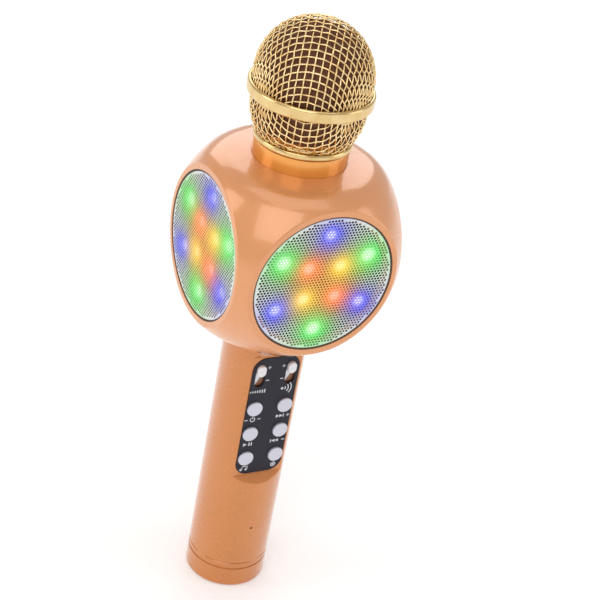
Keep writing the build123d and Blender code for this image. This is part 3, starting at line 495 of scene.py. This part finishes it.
def woven(name, form, body, low, high):
    """Tubes of both families of wires, over and under by turns, kept where low <= height <= high."""
    net = net_of(form, NET_CELLS, PITCH)
    points, faces = [], []

    def crossing(i, j):
        spot = net.get((abs(i), abs(j)))
        if spot is None:
            return None
        s, angle = spot
        if i < 0:
            angle = math.pi - angle
        if j < 0:
            angle = -angle
        if i == 0 and j == 0:
            angle = 0.0
        run = form.heading(s)
        side = 1.0 if form.profile[-1, 1] < form.profile[0, 1] else -1.0
        normal = np.array([-run[1] * side * math.cos(angle), -run[1] * side * math.sin(angle), run[0] * side])
        return form.at(s, angle), normal / (np.linalg.norm(normal) + 1e-12)

    def tube(line):
        base = len(points)
        line = np.array(line)
        count = len(line)
        ahead = np.gradient(line[:, :3], axis=0)
        ahead /= np.linalg.norm(ahead, axis=1)[:, None] + 1e-12
        for p, direction in zip(line, ahead):
            out = p[3:6] - direction * np.dot(p[3:6], direction)
            out /= np.linalg.norm(out)
            beside = np.cross(direction, out)
            for k in range(AROUND):
                a = 2 * math.pi * k / AROUND
                points.append(p[:3] + (out * math.cos(a) + beside * math.sin(a)) * WIRE)
        for i in range(count - 1):
            here, there = base + i * AROUND, base + (i + 1) * AROUND
            for k in range(AROUND):
                m = (k + 1) % AROUND
                faces.append((here + k, here + m, there + m, there + k))
        faces.append(tuple(base + k for k in reversed(range(AROUND))))
        faces.append(tuple(base + (count - 1) * AROUND + k for k in range(AROUND)))

    for family in (0, 1):
        for fixed in range(-NET_CELLS + 1, NET_CELLS):
            run = []
            for moving in range(-NET_CELLS + 1, NET_CELLS):
                spot = crossing(moving, fixed) if family == 0 else crossing(fixed, moving)
                if spot is not None:
                    lift = (1 if (moving + fixed + family) % 2 else -1) * WEAVE
                    run.append((moving, spot[0], spot[1], lift))
            for stretch in stretches_of(run):
                for part in kept_parts(smooth_wire(stretch), low, high):
                    tube(part)
    c, s = math.cos(WEAVE_TURN), math.sin(WEAVE_TURN)
    points = [(p[0] * c - p[1] * s, p[0] * s + p[1] * c, p[2]) for p in points]
    return solid(name, points, faces, body)


BALL_R = 24.5 * MM
MESH_DEPTH = 0.65 * MM  # from the CAD's outer face to the middle of the wire
BOWL_FOOT_R = 19.25 * MM
PINCH = 0.8 * MM  # how much narrower the bowl is under the band
WAIST_DROP = 2.55 * MM  # where it is, below the bowl's top
BOW = np.array([1.5, -0.5]) * MM  # bulge of the bowl's side at its middle
BOWL_CORNER = 3.0 * MM


def ball_forms():
    """Meridians of the dome and the bowl through the middle of the wire."""
    dome_low, dome_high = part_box("grille_dome")
    bowl_low, bowl_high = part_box("grille_bowl")
    radius = dome_high.x - MESH_DEPTH
    centre = dome_high.z - BALL_R
    band = (dome_low.z + bowl_high.z) / 2
    angles = np.linspace(0, math.pi / 2, 60)
    dome = [(radius * math.sin(a), centre + radius * math.cos(a)) for a in angles]
    dome += [(radius, z) for z in np.linspace(centre - 0.2 * MM, band - 3 * PITCH, 20)]
    foot, waist = np.array([BOWL_FOOT_R, bowl_low.z]), np.array([radius - PINCH, bowl_high.z - WAIST_DROP])
    mid = (foot + waist) / 2 + BOW
    bend = []
    for t in np.linspace(0, 1, 40):
        control = 2 * mid - (foot + waist) / 2
        bend.append((1 - t) ** 2 * foot + 2 * t * (1 - t) * control + t * t * waist)
    lean = bend[1] - bend[0]
    lean = math.atan2(lean[1], lean[0])
    centre_r = foot[0] - BOWL_CORNER * math.sin(lean)
    centre_z = foot[1] + BOWL_CORNER * math.cos(lean)
    bowl = [(r, centre_z - BOWL_CORNER) for r in np.linspace(0, centre_r - 0.1 * MM, 30)]
    for a in np.linspace(0, lean, 16):
        bowl.append((centre_r + BOWL_CORNER * math.sin(a), centre_z - BOWL_CORNER * math.cos(a)))
    bowl += [tuple(p) for p in bend[1:]]
    bowl += [(radius, z) for z in np.linspace(waist[1] + PINCH, band + 2 * PITCH, 16)]
    return RoundForm(dome), RoundForm(bowl), band


# ------------------------------------------------------------------ perforated grille
HOLE_PITCH, HOLE_R = 1.40 * MM, 0.54 * MM
SHEET = 0.22 * MM  # depth of the holes' walls
SHEET_TOP = 0.02 * MM  # how far the sheet lies behind the rim
RIM = 0.45 * MM  # width of the rolled rim's flat
HOLE_MARGIN = 0.05 * MM  # least metal between a hole and the rim
BORE_SIDES, RIM_STEPS = 12, 144


def perforated_grille(side):
    """Pressed disc with a rolled rim, a skirt and a close hexagonal pattern of round holes."""
    across, up, outward = face_axes(FACES[side])
    low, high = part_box(f"speaker_grille_{side}")
    head = (low + high) / 2
    front = max(abs(low.dot(outward)), abs(high.dot(outward)))
    radius = (high.z - low.z) / 2
    field = radius - RIM
    corner = HOLE_PITCH / math.sqrt(3)
    points, faces, found = [], [], {}

    def spot(u, v, depth):
        key = (round(u * 1e8), round(v * 1e8), depth)
        if key not in found:
            found[key] = len(points)
            points.append(across * u + up * (v + head.z) + outward * (front - depth))
        return found[key]

    rows = int(field / corner / 1.5) + 2
    for row in range(-rows, rows + 1):
        for column in range(-rows - 2, rows + 3):
            u = (column + 0.5 * (row % 2)) * HOLE_PITCH
            v = row * HOLE_PITCH * math.sqrt(3) / 2
            reach = math.hypot(u, v)
            if reach > field + HOLE_PITCH / 2:
                continue
            edge, bore = [], []
            for k in range(BORE_SIDES):
                a = math.radians((k + 1) * 360 / BORE_SIDES)
                size = corner if k % 2 == 0 else HOLE_PITCH / 2
                x, y = u + size * math.cos(a), v + size * math.sin(a)
                keep = min(1.0, field / math.hypot(x, y))
                edge.append((x * keep, y * keep))
                bore.append((u + HOLE_R * math.cos(a), v + HOLE_R * math.sin(a)))
            if reach + HOLE_R > field - HOLE_MARGIN:
                ring = list(dict.fromkeys(spot(*q, SHEET_TOP) for q in edge))
                if len(ring) > 2:
                    faces.append(tuple(ring))
                continue
            top = [(q, SHEET_TOP) for q in bore]
            for k in range(BORE_SIDES):
                m = (k + 1) % BORE_SIDES
                flat = ((edge[k], SHEET_TOP), (edge[m], SHEET_TOP), top[m], top[k])
                wall = (top[k], top[m], (bore[m], SHEET), (bore[k], SHEET))
                for corners in (flat, wall):
                    faces.append(tuple(spot(*q, depth) for q, depth in corners))
    depth = abs(high.dot(outward) - low.dot(outward))
    # Each corner of the rolled rim and its skirt, as its inset from the edge and its depth behind the front.
    rim = [(0.5 * MM, 0.03 * MM), (0.45 * MM, 0.0), (0.25 * MM, 0.0), (0.09 * MM, 0.1 * MM)]
    rim += [(0.0, 0.35 * MM), (0.0, depth), (0.4 * MM, depth), (0.4 * MM, SHEET), (0.5 * MM, SHEET)]
    start, count = len(points), len(rim)
    for i in range(RIM_STEPS):
        a = 2 * math.pi * i / RIM_STEPS
        for inset, d in rim:
            r = radius - inset
            points.append(across * r * math.cos(a) + up * (head.z + r * math.sin(a)) + outward * (front - d))
    for i in range(RIM_STEPS):
        here, there = start + i * count, start + (i + 1) % RIM_STEPS * count
        for k in range(count):
            m = (k + 1) % count
            faces.append((here + k, there + k, there + m, here + m))
    grille = solid(f"perforated_grille_{side}", points, faces, "body", smooth=False)
    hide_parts(f"speaker_grille_{side}")
    perforated_silver(side).on(grille)
    lit_diffuser(side).on(f"light_diffuser_{side}")


# ------------------------------------------------------------------ foam
FOAM_WALL = 3.0 * MM
FOAM_GAP = 0.35 * MM  # between the foam and its CAD envelope
FOAM_TAPER = 3.6 * MM  # how much narrower the foot is than the ball
FOAM_ROUGH = 0.28 * MM


def foam_liner():
    """Open-cell foam that lines the ball, slightly uneven."""
    low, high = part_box("foam_windscreen")
    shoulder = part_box("grille_bowl")[1].z - 3 * MM
    outer = high.x
    centre = high.z - outer
    foot = outer - FOAM_TAPER

    def edge(radius, shrink, count):
        angles = np.linspace(0.0004, math.pi / 2, count)
        run = [(radius * math.sin(a), centre + radius * math.cos(a)) for a in angles]
        run += [(radius, z) for z in np.linspace(centre - 0.5 * MM, shoulder, 8)]
        bottom = foot - shrink
        for t in np.linspace(0.08, 1, 22):
            taper = math.sqrt(1 - t * t * 0.999) ** 0.9
            run.append((bottom + (radius - bottom) * taper, shoulder * (1 - t) + low.z * t))
        return run

    profile = edge(outer - FOAM_GAP, 0.0, 44) + edge(outer - FOAM_WALL, FOAM_WALL * 0.7, 30)[::-1]
    foam = spun("windscreen_foam", profile, "windscreen", 120)
    for vertex in foam.data.vertices:
        rough = noise.noise(vertex.co * 900.0) * 0.6 + noise.noise(vertex.co * 2300.0) * 0.4
        vertex.co += Vector((vertex.co.x, vertex.co.y, 0)).normalized() * rough * FOAM_ROUGH
    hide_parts("foam_windscreen")
    cells = Finish("open_cell_foam", roughness=0.95)
    where = {"Vector": cells.place(), "Scale": 1500.0}
    pores = cells.node("ShaderNodeTexVoronoi", {"feature": "DISTANCE_TO_EDGE"}, where)
    # The middles of the pores are darker: painted shade in their hollows. The foam's warm brown tint is
    # partly its own dark colour and partly painted light bounced off the gold wire.
    deep = cells.ramp(pores, 0.0, 0.35)
    cells.out("Base Color", cells.mix(deep, (0.190, 0.072, 0.034), (0.085, 0.030, 0.014)))
    cells.bump(deep, 0.6, 0.0004)
    cells.on(foam)


# ------------------------------------------------------------------ printed marks on the panel
MARK_DROP = 5.9 * MM  # from a button's middle to its mark
MARK_GROW = 1.4  # each mark is drawn small and enlarged about its pivot


def printed_marks():
    """Flat generic symbols beside the controls; their sizes are in mm and their places in metres."""
    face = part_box("control_panel")[0].y
    points, faces = [], []
    pivot = [0.0, 0.0]

    def shape(outline):
        """outline is [(x, z), ...] in metres, turning left as seen from the front."""
        px, pz = pivot
        outline = [(px + (x - px) * MARK_GROW, pz + (z - pz) * MARK_GROW) for x, z in outline]
        base, count = len(points), len(outline)
        for y in (face - 0.05 * MM, face + 0.02 * MM):
            points.extend((x, y, z) for x, z in outline)
        faces.append(tuple(base + k for k in range(count)))
        faces.append(tuple(base + count + k for k in reversed(range(count))))
        for k in range(count):
            m = (k + 1) % count
            faces.append((base + m, base + k, base + count + k, base + count + m))

    def bar(x, z, wide, tall):
        w, t = wide / 2 * MM, tall / 2 * MM
        shape([(x - w, z - t), (x + w, z - t), (x + w, z + t), (x - w, z + t)])

    def arrow(x, z, size, way):
        h = size / 2 * MM
        tip, back = x + h * way, x - h * way
        corners = [(back, z - h), (tip, z), (back, z + h)]
        shape(corners if way > 0 else corners[::-1])

    def ring(x, z, radius, width, start=0, span=360):
        steps = 20
        for k in range(steps):
            a, b = (math.radians(start + span * q / steps) for q in (k, k + 1))
            o, i = (radius + width / 2) * MM, (radius - width / 2) * MM
            shape(
                [
                    (x + i * math.cos(a), z + i * math.sin(a)),
                    (x + o * math.cos(a), z + o * math.sin(a)),
                    (x + o * math.cos(b), z + o * math.sin(b)),
                    (x + i * math.cos(b), z + i * math.sin(b)),
                ]
            )

    def under(name):
        spot = middle(name)
        pivot[:] = spot.x, spot.z - MARK_DROP
        return pivot

    for name, way in (("slider_mic_volume", 1), ("slider_reverb", -1)):
        low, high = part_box(name)
        x = (low.x + high.x) / 2 + way * 3.8 * MM
        top = high.z - 3.3 * MM
        pivot[:] = x, top
        bar(x, top, 1.0, 0.32)
        bar(x, top, 0.32, 1.0)
        pivot[:] = x, top - 6.6 * MM
        bar(*pivot, 1.1, 0.32)
        pivot[:] = (low.x + high.x) / 2, high.z - 15.3 * MM
        x, z = pivot
        if way > 0:
            for k in range(7):
                bar(x + (k - 3) * 0.8 * MM, z, 0.4, 0.5 + 0.14 * k)
        else:
            for k in range(3):
                ring(x - 1.6 * MM, z, 0.8 + 1.0 * k, 0.35, -42, 84)
            ring(x - 1.9 * MM, z, 0.25, 0.4)
    x, z = under("button_power")
    ring(x, z, 0.75, 0.3, 120, 300)
    bar(x, z + 0.7 * MM, 0.3, 0.9)
    for k in (-1, 1):
        bar(x + 2.2 * k * MM, z, 1.1, 0.3)
    x, z = under("button_play_pause")
    arrow(x - 1.0 * MM, z, 1.3, 1)
    bar(x + 0.4 * MM, z, 0.4, 1.3)
    bar(x + 1.2 * MM, z, 0.4, 1.3)
    x, z = under("button_accompaniment")
    for k in (-1, 1):
        ring(x + k * 0.9 * MM, z - 0.4 * MM, 0.25, 0.4)
        bar(x + (k * 0.9 + 0.35) * MM, z + 0.2 * MM, 0.25, 1.3)
    bar(x + 0.35 * MM, z + 0.8 * MM, 2.0, 0.35)
    for name, way in (("button_next", 1), ("button_previous", -1)):
        x, z = under(name)
        for k in (-1.6, -0.4):
            arrow(x + k * MM, z, 1.2, way)
        bar(x + (0.4 if way > 0 else -2.45) * MM, z, 0.3, 1.2)
        bar(x + 1.9 * MM, z, 1.1, 0.3)
        if way > 0:
            bar(x + 1.9 * MM, z, 0.3, 1.1)
    x, z = under("button_record")
    ring(x, z, 0.75, 0.28)
    ring(x, z, 0.2, 0.4)
    marks = solid("panel_marks", points, faces, "body", smooth=False)
    ink = moulded("printed_ink", (0.62, 0.63, 0.68), 0.45, grain=3000.0, depth=0.05, spread=0.2)
    ink.on(marks)


# ------------------------------------------------------------------ the rest of the finishes
KNOB_FOOT = 0.2 * MM  # what lies further back than this in front of the panel is the shutter
SHUTTER_EDGE = 9.6 * MM  # where its slanting edge crosses the slot's middle, below the slider's top
SHUTTER_SLANT = 0.5


def slider_white():
    """White slider cap; the shutter behind the slot is brown on one side of a slanting edge, as painted shade
    of the slot's inner wall.
    """
    cap = Finish("slider_white", roughness=0.25, coat_weight=0.3)
    x, y, z = cap.axes()
    shutter = y > (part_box("control_panel")[0].y - KNOB_FOOT)
    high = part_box("slider_mic_volume")[1]
    tone = cap.ramp(cap.noise(400.0), 0.3, 0.7)
    # Brown on the shutter: painted shade of the slot's inner wall.
    painted_slot_shade = cap.mix(tone, (0.30, 0.115, 0.05), (0.19, 0.075, 0.035))
    white = cap.mix(tone * 0.4, (0.80, 0.80, 0.84), (0.62, 0.62, 0.68))
    left, right = (middle(n).x for n in ("slider_mic_volume", "slider_reverb"))
    own = x - (x > 0.0) * right - (x < 0.0) * left
    below = (own - (z - (high.z - SHUTTER_EDGE)) * SHUTTER_SLANT) > 0.0
    cap.out("Base Color", cap.mix(shutter * below, white, painted_slot_shade))
    cap.bump(cap.noise(1500.0), 0.08)
    return cap


def cover_everything():
    shell = gold_paint("head_lacquer", linear(223, 152, 98), linear(215, 140, 84), 0.18, 0.24, 0.85)
    shell.on("head_shell_front", "head_shell_rear")
    grip = gold_paint("grip_lacquer", linear(204, 127, 60), linear(197, 117, 52), 0.25, 0.26, 0.8)
    grip.on("handle_tube", "end_cap")
    collar = gold_paint("collar_lacquer", linear(246, 174, 82), linear(234, 154, 64), 0.6, 0.2, 0.6)
    collar.on("neck_collar")
    polished = gold_wire("polished_gold", 0.14, linear(232, 205, 150), linear(214, 180, 118))
    polished.on("grille_band", "grille_base_ring")
    panel = moulded("panel_gloss", linear(18, 19, 36), 0.36, 2500.0, 0.04, 0.3, specular_ior_level=0.35)
    panel.on("control_panel")
    plated("button_silver", (0.64, 0.64, 0.73), 0.34, 0.5).on(*nodes_named("button_", ("button_mat",)))
    slider_white().on("slider_mic_volume", "slider_reverb")
    moulded("gasket_rubber", (0.085, 0.050, 0.038), 0.6).on(*nodes_named("grille_gasket"))
    moulded("black_rubber", (0.02, 0.02, 0.02), 0.7).on("capsule_shock_mount", "button_mat")
    moulded("black_plastic", (0.022, 0.022, 0.024), 0.45).on(
        "neck_lock_ring", "handle_lock_ring", "battery_cradle", "slider_pots", "audio_jack"
    )
    mask = moulded("solder_mask", (0.02, 0.11, 0.05), 0.4, grain=900.0)
    mask.on("main_board", *nodes_named("light_board"))
    moulded("cell_sleeve", (0.03, 0.10, 0.42), 0.3).on("battery_cell")
    paper = moulded("cone_paper", (0.03, 0.03, 0.033), 0.85, grain=700.0, depth=0.4)
    paper.on(*nodes_named("driver_cone"))
    moulded("magnet_ferrite", (0.05, 0.05, 0.052), 0.55).on(*nodes_named("driver_magnet"))
    plated("black_steel", (0.05, 0.05, 0.055), 0.4, 0.8).on(*nodes_named("driver_frame"))
    steel = plated("bright_steel", (0.60, 0.60, 0.60), 0.28)
    steel.on("head_screws", "battery_contacts", "micro_usb_socket", "card_slot")
    plated("capsule_aluminium", (0.55, 0.55, 0.56), 0.32).on("mic_capsule")
    moulded("light_pipe", (0.30, 0.10, 0.06), 0.3).on("charge_indicator")
    lamps = {"leds_green": GREEN, "leds_blue": BLUE, "leds_orange": ORANGE, "leds_yellow": YELLOW}
    for name, tint in lamps.items():
        lamp = Finish(f"lamp_{name}", roughness=0.3)
        lamp.out("Base Color", lamp.mix(lamp.noise(800.0), (0.8, 0.8, 0.8), tint))
        lamp.out("Emission Color", lamp.mix(lamp.noise(900.0) * 0.3, tint, (1.0, 1.0, 1.0)))
        lamp.shader.inputs["Emission Strength"].default_value = 1.5
        lamp.on(name)


def ball():
    dome_form, bowl_form, band = ball_forms()
    wire = gold_wire("gold_wire", 0.2, linear(255, 230, 176), linear(236, 198, 136))
    dome_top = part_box("grille_dome")[1].z
    dome = woven("dome_weave", dome_form, "ball", band - 0.5 * MM, dome_top)
    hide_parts("grille_dome")
    bowl_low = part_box("grille_bowl")[0].z
    bowl = woven("bowl_weave", bowl_form, "ball", bowl_low - 0.4 * MM, band + 0.5 * MM)
    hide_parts("grille_bowl")
    for piece in (dome, bowl):
        wire.on(piece)


# ------------------------------------------------------------------ studio
WORLD_STRENGTH = 0.58
FLOOR_REACH, FLOOR_Z, FLOOR_GLOW = 40.0, -0.0003, 0.16
# Name, place, aim, width and height, and power of each area light.
AREA_LIGHTS = (
    ("key", (-1.1, -1.3, 1.6), (0, 0, 0.17), (1.6, 1.6), 12.5),
    ("fill", (1.6, -0.9, 0.5), (0, 0, 0.15), (0.9, 1.8), 5.5),
    ("left_strip", (-1.5, 0.4, 0.5), (0, 0, 0.15), (0.7, 1.8), 6.0),
    ("back", (0.6, 1.6, 1.1), (0, 0, 0.18), (1.8, 1.0), 8.0),
    ("top", (0.0, 0.0, 2.1), (0, 0, 0.2), (1.6, 1.6), 6.0),
)


def studio():
    scene = bpy.context.scene
    scene.view_settings.view_transform = "Standard"
    world = bpy.data.worlds.new("studio")
    world.use_nodes = True
    world.node_tree.nodes["Background"].inputs[0].default_value = (1.0, 0.985, 0.98, 1)
    world.node_tree.nodes["Background"].inputs[1].default_value = WORLD_STRENGTH
    scene.world = world
    mesh = bpy.data.meshes.new("floor")
    signs = ((-1, -1), (1, -1), (1, 1), (-1, 1))
    corners = [(x * FLOOR_REACH, y * FLOOR_REACH, FLOOR_Z) for x, y in signs]
    mesh.from_pydata(corners, [], [(0, 1, 2, 3)])
    floor = bpy.data.objects.new("floor", mesh)
    scene.collection.objects.link(floor)
    paper = Finish("pale_paper", roughness=0.9)
    paper.out("Base Color", paper.mix(paper.noise(6.0), (0.93, 0.93, 0.93), (0.96, 0.96, 0.96)))
    paper.out("Emission Color", paper.mix(paper.noise(6.0), (1.0, 1.0, 1.0), (0.98, 0.98, 0.98)))
    paper.shader.inputs["Emission Strength"].default_value = FLOOR_GLOW
    paper.on(floor)
    for name, place, target, size, power in AREA_LIGHTS:
        data = bpy.data.lights.new(name, "AREA")
        data.shape = "RECTANGLE"
        data.size, data.size_y = size
        data.energy = power
        lamp = bpy.data.objects.new(name, data)
        lamp.location = place
        lamp.rotation_mode = "QUATERNION"
        lamp.rotation_quaternion = (Vector(target) - Vector(place)).to_track_quat("-Z", "Y")
        scene.collection.objects.link(lamp)


add_camera()
studio()
cover_everything()
ball()
foam_liner()
for side in FACES:
    perforated_grille(side)
printed_marks()
